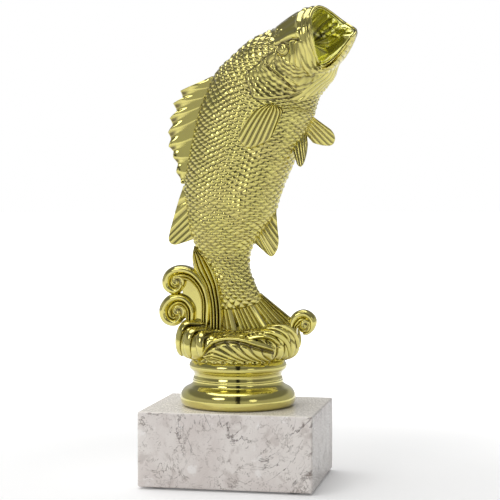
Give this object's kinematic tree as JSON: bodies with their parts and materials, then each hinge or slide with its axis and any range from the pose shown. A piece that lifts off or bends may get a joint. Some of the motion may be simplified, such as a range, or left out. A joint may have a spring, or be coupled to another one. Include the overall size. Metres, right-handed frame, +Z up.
{
  "type": "fishing trophy",
  "caption": "Trophy of a large-mouthed bass leaping from curling waves, on a turned pedestal that is bolted through a marble block.",
  "frame": {"origin": "in the middle under the marble block, on the surface that the felt pads stand on", "axes": "+Z up, +X from the fish's back to its belly, -Y towards the viewer of the fish's right flank"},
  "size_m": [0.0852, 0.055, 0.1901],
  "materials": {
    "gold_plating": "gloss, vacuum-metallised lemon gold",
    "dark_gold": "gloss, vacuum-metallised gold in shadow",
    "marble": "polished pale marble with grey-brown veins",
    "felt": "matte felt",
    "fastener_steel": "satin zinc-plated steel"
  },
  "bodies": {
    "base": {"marble_block": "marble", "felt_pads": "felt"},
    "figure": {"hex_bolt": "fastener_steel", "pedestal": "gold_plating", "wave_base": "gold_plating", "front_crest": "gold_plating", "tall_wave": "gold_plating", "upper_curl": "gold_plating", "lower_curl": "gold_plating", "wave_web": "gold_plating", "right_curl": "gold_plating", "tail_fin": "gold_plating", "fish_right_half": "gold_plating", "fish_left_half": "gold_plating", "spiny_dorsal_fin": "gold_plating", "soft_dorsal_fin": "gold_plating", "anal_fin": "gold_plating", "pectoral_fin_right": "gold_plating", "pectoral_fin_left": "gold_plating", "pelvic_fin_right": "gold_plating", "pelvic_fin_left": "gold_plating", "mouth_lining": "dark_gold"},
    "washer": {"washer": "fastener_steel"},
    "nut": {"hex_nut": "fastener_steel"}
  },
  "joints": [
    {"name": "figure_turn", "type": "hinge", "parent": "base", "child": "figure", "pos_m": [0, 0, 0.03], "axis": [0, 0, 1], "continuous": true},
    {"name": "washer_drop", "type": "slide", "parent": "figure", "child": "washer", "axis": [0, 0, -1], "range_m": [0, 0.0035]},
    {"name": "nut_turn", "type": "hinge", "parent": "washer", "child": "nut", "pos_m": [0, 0, 0.0076], "axis": [0, 0, -1], "range_deg": [0, 1260]}
  ],
  "couplings": [
    {"joint": "nut_turn", "follows": "washer_drop", "rad_per_m": 6283.2}
  ]
}
